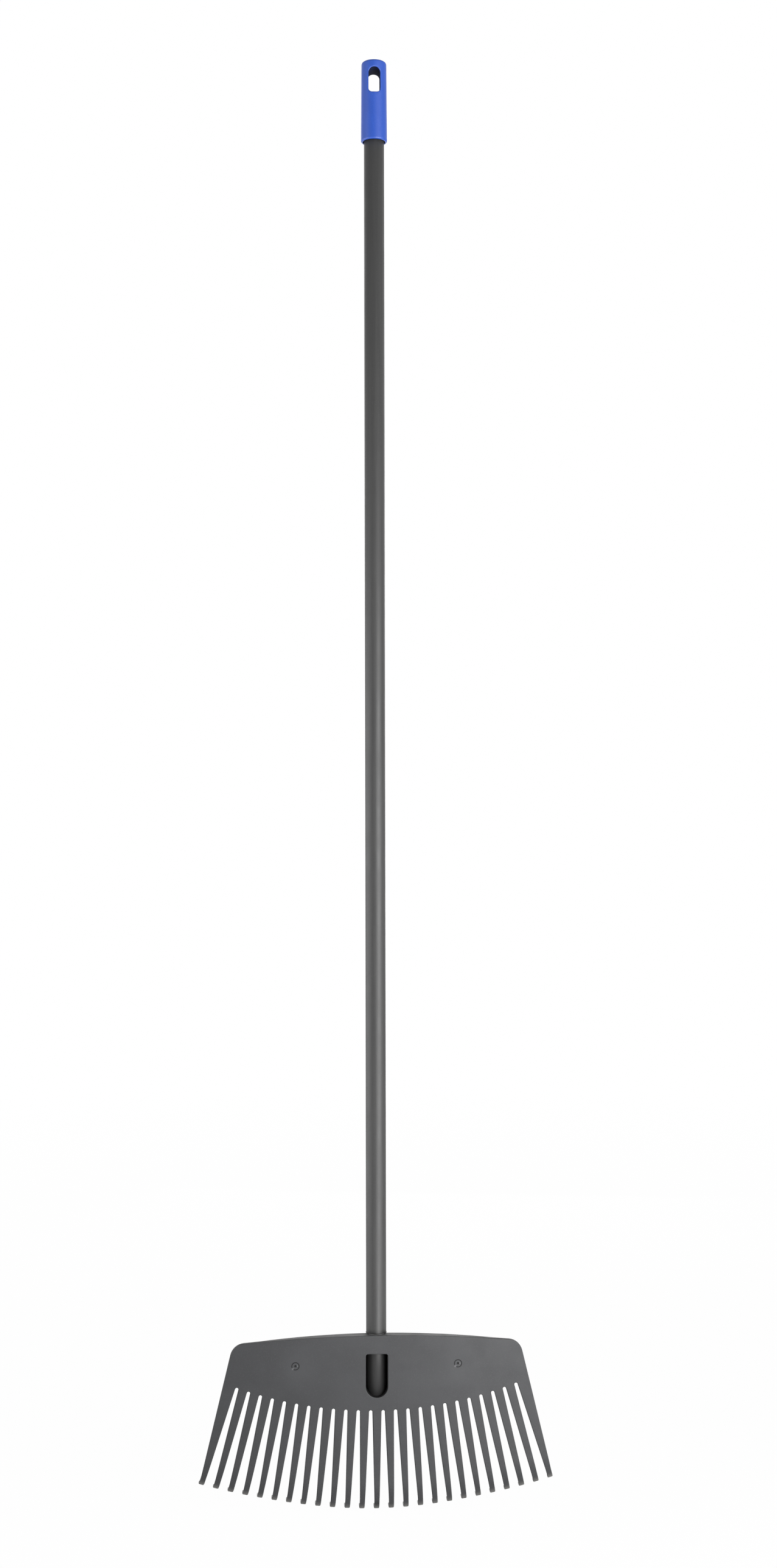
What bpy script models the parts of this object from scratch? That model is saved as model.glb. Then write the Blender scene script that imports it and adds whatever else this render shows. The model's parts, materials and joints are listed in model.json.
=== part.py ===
"""Leaf rake: a moulded fan head with bent tines on a long tube with a hanging grip.

The frame is in metres, +Z up, with the front of the head towards -Y. The origin is the
point under the top of the hanging slot, on the shaft's axis, where a hook carries the rake.
Every place below is worked out from the named sizes at the top.
"""
import math

import bmesh
import bpy
from mathutils import Matrix, Vector

# Shared clearances
TOUCH_GAP = 0.0003
CUT_MARGIN = 0.004
FLAT_ANGLE = 0.0005

# Shaft
SHAFT_DIAMETER = 0.0240
SHAFT_WALL = 0.0012
SHAFT_LENGTH = 1.549
SHAFT_STEPS = 48

# Hanging grip
GRIP_CROWN = 0.0088
GRIP_SKIRT = 0.0501
GRIP_TOP_DIAMETER = 0.0296
GRIP_FOOT_DIAMETER = 0.0310
GRIP_TOP_ROUND = 0.0024
GRIP_FOOT_ROUND = 0.0018
GRIP_MOUTH_GAP = 0.0010
GRIP_MOUTH_DEPTH = 0.0035
GRIP_STEPS = 64
ROUND_STEPS = 4

# Hanging slot
SLOT_WIDTH = 0.0139
SLOT_HEIGHT = 0.0298
SLOT_CORNER = 0.0045
SLOT_FLOOR = 0.0056
SLOT_EDGE_ROUND = 0.0014
SLOT_BACK_ROUND = 0.0030
SLOT_ARC_STEPS = 14
RIM_STEPS = 3

# Head plate
PLATE_THICKNESS = 0.0040
SOCKET_FRONT_WALL = 0.0052
TOP_ARC_RADIUS = 1.800
TOP_ARC_STEPS = 20
SHOULDER_RADIUS = 0.0180
SHOULDER_STEPS = 8
EDGE_ROUND = 0.0011

# Tines
TINE_COUNT = 25
TINE_ROOT_WIDTH = 0.0107
TINE_HOOK_WIDTH = 0.0061
TINE_TIP_THICKNESS = 0.0026
TINE_TIP_CORNER = 0.0012
TINE_GAP_AT_ROOT = 0.0040
TINE_STRAIGHT = 0.0873
OUTER_TINE_ROOT_WIDTH = 0.0149
OUTER_TINE_SPREAD = 0.0012
SPREAD_TINES = 3
ROOT_ARC_RADIUS = 0.476
ROOT_ARC_STEPS = 6
FAN_APEX_RISE = 0.5334
TIP_RISE = 0.0028
TIP_RISE_SPREAD = 9
EASE_RADIUS = 0.0700
EASE_ANGLE = math.radians(18)
EASE_STEPS = 3
HOOK_RADIUS = 0.0210
HOOK_ANGLE = math.radians(66)
HOOK_STEPS = 6
HOOK_STRAIGHT = 0.0100
OUTER_HOOK_TRIM = 0.0075

# Window in the plate that shows the shaft
WINDOW_DROP = 0.0220
WINDOW_HEIGHT = 0.0514
WINDOW_SIDE_GAP = 0.0010
WINDOW_CORNER = 0.0025
WINDOW_EDGE_ROUND = 0.0008
WINDOW_ARC_STEPS = 16

# Socket behind the plate
SOCKET_WALL = 0.0032
SOCKET_PAST_WINDOW = 0.0066
SOCKET_FLOOR = 0.0030
SOCKET_TO_ROOTS = 0.0054
SOCKET_LEAD_IN = 0.0010
COLLAR_DROP = 0.0045

# Flange along the top edge, and the ribs behind the plate
FLANGE_DEPTH = 0.0136
FLANGE_BOW_RADIUS = 1.190
FLANGE_THICKNESS = 0.0032
FLANGE_STEP = 0.0004
RIB_THICKNESS = 0.0024
RIB_HEIGHT = 0.0085
RIB_TIP_HEIGHT = 0.0010
RIB_LENGTH = 0.118
RIB_DROPS = (0.0300, 0.0640)
RIB_SLOPES = (math.radians(8), math.radians(2))

# Moulding gate marks on the front
GATE_SPACING = 0.1928
GATE_DROP = 0.0343
GATE_DIAMETER = 0.0097
GATE_GROOVE_WIDTH = 0.0011
GATE_GROOVE_DEPTH = 0.0005
GATE_DIMPLE_DIAMETER = 0.0031
GATE_DIMPLE_DEPTH = 0.0011

# Screw that holds the shaft in the socket
SCREW_DROP = 0.0120
SCREW_DIAMETER = 0.0040
SCREW_HEAD_DIAMETER = 0.0080
SCREW_HEAD_HEIGHT = 0.0026
SCREW_REACH = 0.0040
SCREW_RECESS_WIDTH = 0.0010
SCREW_RECESS_LENGTH = 0.0046
SCREW_RECESS_DEPTH = 0.0012
SCREW_STEPS = 24

# Levels and radii that follow from the sizes
SHAFT_RADIUS = SHAFT_DIAMETER / 2
BORE_RADIUS = SHAFT_RADIUS + TOUCH_GAP
SLOT_BOTTOM = -SLOT_HEIGHT
SHAFT_TOP = SLOT_BOTTOM - SLOT_FLOOR - TOUCH_GAP
GRIP_FOOT = SHAFT_TOP - GRIP_SKIRT
SHAFT_FOOT = SHAFT_TOP - SHAFT_LENGTH
SOCKET_REACH = WINDOW_DROP + WINDOW_HEIGHT + SOCKET_PAST_WINDOW
HEAD_TOP = SHAFT_FOOT - TOUCH_GAP + SOCKET_REACH
ROOT_DROP = SOCKET_REACH + SOCKET_FLOOR + SOCKET_TO_ROOTS
PLATE_FRONT = BORE_RADIUS + SOCKET_FRONT_WALL
SOCKET_RADIUS = BORE_RADIUS + SOCKET_WALL

# Fan of tines, in the head's own plane: x across and y up from the middle of its top edge
FAN_APEX = Vector((0.0, FAN_APEX_RISE))
ROOT_RADIUS = FAN_APEX_RISE + ROOT_DROP
ROOT_ARC_CENTRE = Vector((0.0, ROOT_ARC_RADIUS - ROOT_DROP))
BEND_RADIUS = ROOT_RADIUS + TINE_STRAIGHT
HOOK_START_RADIUS = BEND_RADIUS + EASE_RADIUS * EASE_ANGLE
TIP_RADIUS = HOOK_START_RADIUS + HOOK_RADIUS * HOOK_ANGLE + HOOK_STRAIGHT
PITCH_ANGLE = (TINE_ROOT_WIDTH + TINE_GAP_AT_ROOT) / ROOT_RADIUS
HOOK_GAP = PITCH_ANGLE * HOOK_START_RADIUS - TINE_HOOK_WIDTH
LAST_TINE = (TINE_COUNT - 1) // 2


def clear_scene():
    """Remove the objects that are in the scene."""
    for obj in list(bpy.data.objects):
        bpy.data.objects.remove(obj, do_unlink=True)


def make_collection(name):
    """Return a new collection that is linked to the scene."""
    collection = bpy.data.collections.new(name)
    bpy.context.scene.collection.children.link(collection)
    return collection


def make_material(name, colour, roughness, metallic=0.0):
    """Return a Principled material with one colour."""
    material = bpy.data.materials.new(name)
    material.use_nodes = True
    shader = material.node_tree.nodes["Principled BSDF"]
    shader.inputs["Base Color"].default_value = (*colour, 1.0)
    shader.inputs["Roughness"].default_value = roughness
    shader.inputs["Metallic"].default_value = metallic
    return material


def finish_part(obj, collection, material, smooth_angle=math.radians(32)):
    """Put a finished piece in the parts' collection, with its material and smooth shading."""
    for other in list(obj.users_collection):
        other.objects.unlink(obj)
    collection.objects.link(obj)
    obj.data.materials.clear()
    obj.data.materials.append(material)
    obj.data.shade_smooth()
    obj.data.set_sharp_from_angle(angle=smooth_angle)


def object_from_bmesh(name, bm):
    """Return a scene object that holds the given bmesh, with its faces turned outwards."""
    bmesh.ops.recalc_face_normals(bm, faces=bm.faces)
    mesh = bpy.data.meshes.new(name)
    bm.to_mesh(mesh)
    bm.free()
    obj = bpy.data.objects.new(name, mesh)
    bpy.context.scene.collection.objects.link(obj)
    return obj


def evaluated_copy(obj, name):
    """Return a mesh object with the shape of obj after its modifiers, and remove obj."""
    bpy.context.view_layer.update()
    depsgraph = bpy.context.evaluated_depsgraph_get()
    mesh = bpy.data.meshes.new_from_object(obj.evaluated_get(depsgraph))
    matrix = obj.matrix_world.copy()
    bpy.data.objects.remove(obj, do_unlink=True)
    solid = bpy.data.objects.new(name, mesh)
    solid.matrix_world = matrix
    bpy.context.scene.collection.objects.link(solid)
    return solid


def weld(obj, distance=0.00001):
    """Close the seams of a solid and turn its faces outwards."""
    bm = bmesh.new()
    bm.from_mesh(obj.data)
    bmesh.ops.remove_doubles(bm, verts=bm.verts, dist=distance)
    bmesh.ops.recalc_face_normals(bm, faces=bm.faces)
    bm.to_mesh(obj.data)
    bm.free()


def flat_solid(name, outline, thickness):
    """Return a plate with the given outline in its local x and y, centred on its local z."""
    curve = bpy.data.curves.new(name, "CURVE")
    curve.dimensions = "2D"
    curve.fill_mode = "BOTH"
    curve.extrude = thickness / 2
    spline = curve.splines.new("POLY")
    spline.points.add(len(outline) - 1)
    for point, (x, y) in zip(spline.points, outline):
        point.co = (x, y, 0.0, 1.0)
    spline.use_cyclic_u = True
    obj = bpy.data.objects.new(name, curve)
    bpy.context.scene.collection.objects.link(obj)
    solid = evaluated_copy(obj, name)
    weld(solid)
    return solid


def turned_solid(name, profile, steps):
    """Return the solid that a profile of (radius, z) points makes round the Z axis."""
    mesh = bpy.data.meshes.new(name)
    edges = [(i, (i + 1) % len(profile)) for i in range(len(profile))]
    if profile[0][0] == 0.0 and profile[-1][0] == 0.0:
        edges.pop()
    mesh.from_pydata([(radius, 0.0, z) for radius, z in profile], edges, [])
    obj = bpy.data.objects.new(name, mesh)
    bpy.context.scene.collection.objects.link(obj)
    screw = obj.modifiers.new("turn", "SCREW")
    screw.axis = "Z"
    screw.angle = math.tau
    screw.steps = steps
    screw.render_steps = steps
    screw.use_merge_vertices = True
    screw.merge_threshold = 0.00001
    solid = evaluated_copy(obj, name)
    weld(solid)
    return solid


def rod(name, radius, length, steps):
    """Return a round bar centred on its local Z axis."""
    bm = bmesh.new()
    bmesh.ops.create_cone(
        bm, cap_ends=True, segments=steps, radius1=radius, radius2=radius, depth=length
    )
    return object_from_bmesh(name, bm)


def combine(target, tool, operation):
    """Join or cut target with tool, apply it, and drop the tool's object."""
    modifier = target.modifiers.new(operation.lower(), "BOOLEAN")
    modifier.operation = operation
    modifier.object = tool
    solid = evaluated_copy(target, target.name)
    bpy.data.objects.remove(tool, do_unlink=True)
    weld(solid, 0.000001)
    return solid


def corner_arc(before, corner, after, radius, steps):
    """Return the points of the arc that rounds a corner between two straight edges."""
    back = (before - corner).normalized()
    ahead = (after - corner).normalized()
    half = back.angle(ahead) / 2
    reach = radius / math.tan(half)
    centre = corner + (back + ahead).normalized() * radius / math.sin(half)
    start = corner + back * reach - centre
    sweep = (math.pi - 2 * half) * (1 if back.cross(ahead) < 0.0 else -1)
    points = []
    for i in range(steps + 1):
        turn = Matrix.Rotation(sweep * i / steps, 2)
        points.append(centre + turn @ start)
    return points


def arc_points(centre, radius, first, last, steps):
    """Return points along a circle's arc, from one angle to another."""
    points = []
    for i in range(steps + 1):
        angle = first + (last - first) * i / steps
        points.append(centre + Vector((math.cos(angle), math.sin(angle))) * radius)
    return points


def round_ended_slot(half, round_end, square_end, corner, arc_steps):
    """Return a slot's outline: half a circle that ends at one height, two corners at another."""
    facing = 1 if round_end > square_end else -1
    centre = Vector((0.0, round_end - facing * half))
    arc = arc_points(centre, half, 0.0, facing * math.pi, arc_steps)
    left = Vector((-half, square_end))
    right = Vector((half, square_end))
    corners = corner_arc(arc[-1], left, right, corner, ROUND_STEPS)
    corners += corner_arc(left, right, arc[0], corner, ROUND_STEPS)
    return arc + corners


def lofted_solid(name, rings):
    """Return the solid whose skin joins rings of points, all with the same number of points."""
    bm = bmesh.new()
    loops = [[bm.verts.new(point) for point in ring] for ring in rings]
    count = len(rings[0])
    for low, high in zip(loops, loops[1:]):
        for i in range(count):
            j = (i + 1) % count
            bm.faces.new((low[i], low[j], high[j], high[i]))
    bm.faces.new(loops[0])
    bm.faces.new(loops[-1])
    return object_from_bmesh(name, bm)


def rim_rounding(radius):
    """Return how far a rounded rim has grown and how deep it lies, from its wall outwards."""
    steps = []
    for i in range(RIM_STEPS + 1):
        angle = math.pi / 2 * i / RIM_STEPS
        steps.append((radius * (1 - math.cos(angle)), radius * (1 - math.sin(angle))))
    return steps


def make_grip():
    """Return the hanging grip: a tapered cap with a bore for the shaft and a slot through it."""
    top_radius = GRIP_TOP_DIAMETER / 2
    foot_radius = GRIP_FOOT_DIAMETER / 2
    mouth_radius = BORE_RADIUS + GRIP_MOUTH_GAP
    top_arc = arc_points(
        Vector((top_radius - GRIP_TOP_ROUND, GRIP_CROWN - GRIP_TOP_ROUND)),
        GRIP_TOP_ROUND, math.pi / 2, 0.0, ROUND_STEPS,
    )
    foot_arc = arc_points(
        Vector((foot_radius - GRIP_FOOT_ROUND, GRIP_FOOT + GRIP_FOOT_ROUND)),
        GRIP_FOOT_ROUND, 0.0, -math.pi / 2, ROUND_STEPS,
    )
    inside = [
        (mouth_radius, GRIP_FOOT),
        (mouth_radius, GRIP_FOOT + GRIP_MOUTH_DEPTH),
        (BORE_RADIUS, GRIP_FOOT + GRIP_MOUTH_DEPTH + GRIP_MOUTH_GAP),
        (BORE_RADIUS, SHAFT_TOP + TOUCH_GAP),
        (0.0, SHAFT_TOP + TOUCH_GAP),
    ]
    above_slot = (SLOT_BACK_ROUND + GRIP_CROWN - GRIP_TOP_ROUND) / 2
    below_slot = SLOT_BOTTOM - SLOT_BACK_ROUND - GRIP_TOP_ROUND
    rings = [(grip_radius(level), level) for level in (above_slot, below_slot)]
    outside = [(0.0, GRIP_CROWN)] + [tuple(p) for p in top_arc] + rings
    outside += [tuple(p) for p in foot_arc]
    grip = turned_solid("hanging_grip", outside + inside, GRIP_STEPS)
    return combine(grip, make_slot_cutter(), "DIFFERENCE")


def grip_radius(level):
    """Return the outer radius of the tapered grip at a height."""
    share = (GRIP_CROWN - level) / (GRIP_CROWN - GRIP_FOOT)
    return (GRIP_TOP_DIAMETER + share * (GRIP_FOOT_DIAMETER - GRIP_TOP_DIAMETER)) / 2


def slot_ring(grow, depth, side):
    """Return the slot's outline, grown by a rim's rounding, at a depth under the grip's skin."""
    half = SLOT_WIDTH / 2 + grow
    outline = round_ended_slot(half, grow, SLOT_BOTTOM - grow, SLOT_CORNER + grow, SLOT_ARC_STEPS)
    ring = []
    for x, z in outline:
        skin = math.sqrt(grip_radius(z) ** 2 - x ** 2)
        ring.append((x, side * (skin - depth), z))
    return ring


def make_slot_cutter():
    """Return the cutter for the hanging slot, flared to round both of its rims."""
    front = rim_rounding(SLOT_EDGE_ROUND) + [(SLOT_EDGE_ROUND, -CUT_MARGIN)]
    back = rim_rounding(SLOT_BACK_ROUND) + [(SLOT_BACK_ROUND, -CUT_MARGIN)]
    rings = [slot_ring(grow, depth, -1) for grow, depth in reversed(front)]
    rings += [slot_ring(grow, depth, 1) for grow, depth in back]
    return lofted_solid("slot_cutter", rings)


def make_shaft():
    """Return the shaft, a tube with both ends open and a hole for the screw."""
    inner = SHAFT_RADIUS - SHAFT_WALL
    profile = [
        (SHAFT_RADIUS, SHAFT_TOP),
        (SHAFT_RADIUS, SHAFT_FOOT),
        (inner, SHAFT_FOOT),
        (inner, SHAFT_TOP),
    ]
    shaft = turned_solid("shaft_tube", profile, SHAFT_STEPS)
    hole = rod("screw_hole_cutter", SCREW_DIAMETER / 2 + TOUCH_GAP, SHAFT_DIAMETER, SCREW_STEPS)
    hole.rotation_euler = (math.pi / 2, 0.0, 0.0)
    hole.location = (0.0, SHAFT_RADIUS, HEAD_TOP - SCREW_DROP)
    return combine(shaft, hole, "DIFFERENCE")


def direction(angle):
    """Return the unit vector that leans the given angle from straight down, in the head's plane."""
    return Vector((math.sin(angle), -math.cos(angle)))


def across(angle):
    """Return the unit vector square to direction(angle), towards +x."""
    return Vector((math.cos(angle), math.sin(angle)))


def gap_edge(gap, side):
    """Return both ends of one edge of a gap between tines: its root and where hooks start."""
    angle = gap * PITCH_ANGLE
    ray = direction(angle)
    offset = FAN_APEX - ROOT_ARC_CENTRE
    along = offset.dot(ray)
    reach = -along + math.sqrt(along ** 2 - offset.length_squared + ROOT_ARC_RADIUS ** 2)
    half = TINE_GAP_AT_ROOT / 2
    share = max(abs(gap) + 0.5 + SPREAD_TINES - LAST_TINE, 0.0) / SPREAD_TINES
    spread = math.copysign(OUTER_TINE_SPREAD * share, gap)
    root = FAN_APEX + ray * (reach + half) + across(angle) * side * half
    far = FAN_APEX + ray * HOOK_START_RADIUS + across(angle) * (side * HOOK_GAP / 2 + spread)
    return root, far


def tine_axis(index):
    """Return the direction of a tine's middle line."""
    return direction(index * PITCH_ANGLE)


def cross_level(start, end, ray, level, hook_start):
    """Return where a tine's edge is at a distance from the fan's apex; its hook has one width."""
    step = end - start
    t = (min(level, hook_start) - (start - FAN_APEX).dot(ray)) / step.dot(ray)
    return start + step * t + ray * max(level - hook_start, 0.0)


def tip_rise(index):
    """Return how much shorter a tine is than the middle one."""
    share = min(abs(index) / TIP_RISE_SPREAD, 1.0)
    return TIP_RISE * share ** 2 * (3 - 2 * share)


def bend_levels(index):
    """Return the distances from the fan's apex at which a tine turns."""
    start = BEND_RADIUS - tip_rise(index)
    ease = EASE_RADIUS * EASE_ANGLE
    hook = HOOK_RADIUS * HOOK_ANGLE
    levels = [start + ease * i / EASE_STEPS for i in range(EASE_STEPS + 1)]
    return levels + [start + ease + hook * i / HOOK_STEPS for i in range(1, HOOK_STEPS + 1)]


def outer_edge():
    """Return two points of the head's side: at the outer tine's root and where hooks start."""
    gap = LAST_TINE - 0.5
    root, far = gap_edge(gap, 1)
    sideways = across(gap * PITCH_ANGLE)
    return root + sideways * OUTER_TINE_ROOT_WIDTH, far + sideways * TINE_HOOK_WIDTH


def top_edge_y(x):
    """Return the height of the head's top edge, an arc, at a distance from the middle."""
    return math.sqrt(TOP_ARC_RADIUS ** 2 - x ** 2) - TOP_ARC_RADIUS


def shoulder_corner():
    """Return the point where the head's side would meet its top edge."""
    root, far = outer_edge()
    slope = (far.x - root.x) / (far.y - root.y)
    x = root.x
    for _ in range(12):
        x = root.x + slope * (top_edge_y(x) - root.y)
    return Vector((x, top_edge_y(x)))


def shoulder_points():
    """Return the rounded right shoulder, from the top edge to the side."""
    corner = shoulder_corner()
    inner_x = corner.x - SHOULDER_RADIUS
    before = Vector((inner_x, top_edge_y(inner_x)))
    return corner_arc(before, corner, outer_edge()[1], SHOULDER_RADIUS, SHOULDER_STEPS)


def top_middle_points():
    """Return the head's top edge between the shoulders, from left to right."""
    end = shoulder_points()[0]
    middle = []
    for i in range(1, TOP_ARC_STEPS):
        x = end.x * (2 * i / TOP_ARC_STEPS - 1)
        middle.append(Vector((x, top_edge_y(x))))
    return [Vector((-end.x, end.y))] + middle + [end]


def top_points():
    """Return the head's top edge with both shoulders, from left to right."""
    right = shoulder_points()
    left = [Vector((-p.x, p.y)) for p in reversed(right)]
    return left[:-1] + top_middle_points() + right[1:]


def tine_points(index):
    """Return the outline of one tine from its right root round its tip to its left root."""
    ray = tine_axis(index)
    right = outer_edge() if index == LAST_TINE else gap_edge(index + 0.5, -1)
    if index == -LAST_TINE:
        left = tuple(Vector((-p.x, p.y)) for p in outer_edge())
    else:
        left = gap_edge(index - 0.5, 1)
    levels = bend_levels(index)
    hook_start = levels[EASE_STEPS]
    down = [cross_level(*right, ray, level, hook_start) for level in levels]
    up = [cross_level(*left, ray, level, hook_start) for level in reversed(levels)]
    end = TIP_RADIUS - tip_rise(index) - OUTER_HOOK_TRIM * (index / LAST_TINE) ** 2
    right_tip = cross_level(*right, ray, end, hook_start)
    left_tip = cross_level(*left, ray, end, hook_start)
    tip = corner_arc(down[-1], right_tip, left_tip, TINE_TIP_CORNER, 2)
    tip += corner_arc(right_tip, left_tip, up[0], TINE_TIP_CORNER, 2)
    return down + tip + up


def gap_root_points(gap):
    """Return the round root of a gap between tines, from its right edge to its left edge."""
    right = gap_edge(gap, 1)[0]
    left = gap_edge(gap, -1)[0]
    tilt = gap * PITCH_ANGLE
    return arc_points((right + left) / 2, TINE_GAP_AT_ROOT / 2, tilt, tilt + math.pi, ROOT_ARC_STEPS)


def head_outline():
    """Return the flat head's outline: top edge, right side, and each tine and gap in turn."""
    points = top_points()
    for index in range(LAST_TINE, -LAST_TINE - 1, -1):
        points += tine_points(index)
        if index > -LAST_TINE:
            points += gap_root_points(index - 0.5)
    return points


def round_front_edge(obj):
    """Round the edge between the plate's front face and its sides."""
    bm = bmesh.new()
    bm.from_mesh(obj.data)
    bmesh.ops.dissolve_limit(bm, angle_limit=FLAT_ANGLE, verts=[], edges=bm.edges)
    front = PLATE_THICKNESS / 2
    rim = [
        edge for edge in bm.edges
        if all(abs(v.co.z - front) < 0.00001 for v in edge.verts)
        and edge.calc_face_angle(0.0) > math.radians(60)
    ]
    bmesh.ops.bevel(
        bm, geom=rim, offset=EDGE_ROUND, offset_type="OFFSET", segments=2,
        profile=0.5, affect="EDGES", material=-1, clamp_overlap=False,
    )
    bmesh.ops.triangulate(bm, faces=bm.faces, quad_method="BEAUTY", ngon_method="BEAUTY")
    bm.to_mesh(obj.data)
    bm.free()


def bend_path(run):
    """Return where the hooked front face goes: along the tine, backwards, and its turn."""
    along, back, turn = min(run, 0.0), 0.0, 0.0
    run = max(run, 0.0)
    for radius, angle in ((EASE_RADIUS, EASE_ANGLE), (HOOK_RADIUS, HOOK_ANGLE)):
        step = min(run / radius, angle)
        along += radius * (math.sin(turn + step) - math.sin(turn))
        back += radius * (math.cos(turn) - math.cos(turn + step))
        turn += step
        run -= step * radius
    return along + run * math.cos(turn), back + run * math.sin(turn), turn


def bent_place(point, depth, index):
    """Return where a point of a flat tine goes when the tine is thinned and hooked back."""
    ray, sideways = tine_axis(index), across(index * PITCH_ANGLE)
    offset = point - FAN_APEX
    level = offset.dot(ray)
    share = (level - ROOT_RADIUS) / (TIP_RADIUS - ROOT_RADIUS)
    depth *= 1.0 + min(max(share, 0.0), 1.0) * (TINE_TIP_THICKNESS / PLATE_THICKNESS - 1.0)
    start = BEND_RADIUS - tip_rise(index)
    along, back, turn = bend_path(level - start)
    along -= depth * math.sin(turn)
    back += depth * math.cos(turn)
    return FAN_APEX + ray * (start + along) + sideways * offset.dot(sideways), back


def hook_tines(obj):
    """Thin the tines towards their tips and hook them backwards."""
    front = PLATE_THICKNESS / 2
    for vertex in obj.data.vertices:
        flat = Vector(vertex.co.xy)
        offset = flat - FAN_APEX
        angle = math.atan2(offset.x, -offset.y)
        index = max(-LAST_TINE, min(LAST_TINE, round(angle / PITCH_ANGLE)))
        place, depth = bent_place(flat, front - vertex.co.z, index)
        vertex.co = (place.x, place.y, front - depth)


def merge_flat_faces(obj):
    """Merge the faces of obj that lie in one plane."""
    bm = bmesh.new()
    bm.from_mesh(obj.data)
    bmesh.ops.dissolve_limit(bm, angle_limit=FLAT_ANGLE, verts=[], edges=bm.edges)
    bm.to_mesh(obj.data)
    bm.free()


def make_fan():
    """Return the plate with its tines, its front face towards local +z."""
    fan = flat_solid("rake_head", head_outline(), PLATE_THICKNESS)
    round_front_edge(fan)
    hook_tines(fan)
    merge_flat_faces(fan)
    fan.data.transform(Matrix.Translation((0.0, 0.0, PLATE_FRONT - PLATE_THICKNESS / 2)))
    return fan


def flange_depth(x):
    """Return how deep the flange is, from the plate's front, at a distance from the middle."""
    bow = FLANGE_BOW_RADIUS - math.sqrt(FLANGE_BOW_RADIUS ** 2 - x ** 2)
    return max(FLANGE_DEPTH - bow, PLATE_THICKNESS / 2 + TOUCH_GAP)


def make_flange():
    """Return the flange along the top edge, deepest in the middle."""
    embed = PLATE_THICKNESS / 2
    upper = [point - Vector((0.0, FLANGE_STEP)) for point in top_middle_points()]
    xs = [point.x for point in upper]
    lower = [point - Vector((0.0, FLANGE_THICKNESS)) for point in reversed(upper)]
    band = flat_solid("flange", upper + lower, FLANGE_DEPTH - embed)
    band.location.z = PLATE_FRONT - (FLANGE_DEPTH + embed) / 2
    back = [Vector((x, flange_depth(x))) for x in xs]
    front = [Vector((xs[-1], 0.0)), Vector((xs[0], 0.0))]
    plan = flat_solid("flange_plan", back + front, 2 * WINDOW_DROP)
    plan.rotation_euler.x = -math.pi / 2
    plan.location.z = PLATE_FRONT
    return combine(band, plan, "INTERSECT")


def make_rib(side, drop, slope):
    """Return one rib behind the plate, from the socket towards a shoulder."""
    outline = [
        Vector((0.0, 0.0)),
        Vector((RIB_LENGTH, 0.0)),
        Vector((RIB_LENGTH, PLATE_THICKNESS / 2 + RIB_TIP_HEIGHT)),
        Vector((0.0, PLATE_THICKNESS / 2 + RIB_HEIGHT)),
    ]
    rib = flat_solid("rib", outline, RIB_THICKNESS)
    turn = Matrix.Rotation(-math.pi / 2, 4, "X")
    tilt = Matrix.Rotation(slope, 4, "Z")
    mirror = Matrix.Scale(side, 4, Vector((1.0, 0.0, 0.0)))
    start = Matrix.Translation((BORE_RADIUS + SOCKET_WALL / 2, -drop, PLATE_FRONT - PLATE_THICKNESS / 2))
    rib.data.transform(mirror @ start @ tilt @ turn)
    weld(rib)
    return rib


def make_socket_body():
    """Return the boss behind the plate, before it is bored: round behind, straight beside."""
    length = SOCKET_REACH + SOCKET_FLOOR - COLLAR_DROP
    reach = PLATE_FRONT - PLATE_THICKNESS / 2
    back = arc_points(Vector((0.0, 0.0)), SOCKET_RADIUS, math.pi, math.tau, SHAFT_STEPS // 2)
    outline = back + [Vector((SOCKET_RADIUS, reach)), Vector((-SOCKET_RADIUS, reach))]
    boss = flat_solid("socket", outline, length)
    boss.rotation_euler.x = math.pi / 2
    boss.location.y = -COLLAR_DROP - length / 2
    return boss


def make_bore_cutter():
    """Return the cutter for the shaft's bore, with a lead-in at its mouth."""
    mouth = BORE_RADIUS + SOCKET_LEAD_IN
    profile = [
        (0.0, CUT_MARGIN),
        (mouth, CUT_MARGIN),
        (mouth, 0.0),
        (BORE_RADIUS, -SOCKET_LEAD_IN),
        (BORE_RADIUS, -SOCKET_REACH),
        (0.0, -SOCKET_REACH),
    ]
    cutter = turned_solid("bore_cutter", profile, SHAFT_STEPS)
    cutter.rotation_euler.x = -math.pi / 2
    return cutter


def window_ring(grow, level):
    """Return the window's outline, grown by a rim's rounding, at a height in the plate."""
    half = SHAFT_RADIUS + WINDOW_SIDE_GAP + grow
    top = grow - WINDOW_DROP
    foot = -WINDOW_DROP - WINDOW_HEIGHT - grow
    outline = round_ended_slot(half, foot, top, WINDOW_CORNER + grow, WINDOW_ARC_STEPS)
    return [(x, y, level) for x, y in outline]


def make_window_cutter():
    """Return the cutter for the window, square at the top, round at the foot, its rim rounded."""
    rings = [window_ring(0.0, 0.0)]
    for grow, depth in rim_rounding(WINDOW_EDGE_ROUND):
        rings.append(window_ring(grow, PLATE_FRONT - depth))
    rings.append(window_ring(WINDOW_EDGE_ROUND, PLATE_FRONT + CUT_MARGIN))
    return lofted_solid("window_cutter", rings)


def make_gate_cutters(side):
    """Return the cutters for one gate mark: its ring groove, and the dimple in its middle."""
    outer = GATE_DIAMETER / 2
    inner = outer - GATE_GROOVE_WIDTH
    dimple = GATE_DIMPLE_DIAMETER / 2
    groove = [
        (inner, CUT_MARGIN),
        (outer, CUT_MARGIN),
        (outer, 0.0),
        ((inner + outer) / 2, -GATE_GROOVE_DEPTH),
        (inner, 0.0),
    ]
    pit = [
        (0.0, CUT_MARGIN),
        (dimple, CUT_MARGIN),
        (dimple, 0.0),
        (dimple / 2, -GATE_DIMPLE_DEPTH),
        (0.0, -GATE_DIMPLE_DEPTH),
    ]
    cutters = []
    for profile in (groove, pit):
        cutter = turned_solid("gate_cutter", profile, SCREW_STEPS)
        cutter.location = (side * GATE_SPACING / 2, -GATE_DROP, PLATE_FRONT)
        cutters.append(cutter)
    return cutters


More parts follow.
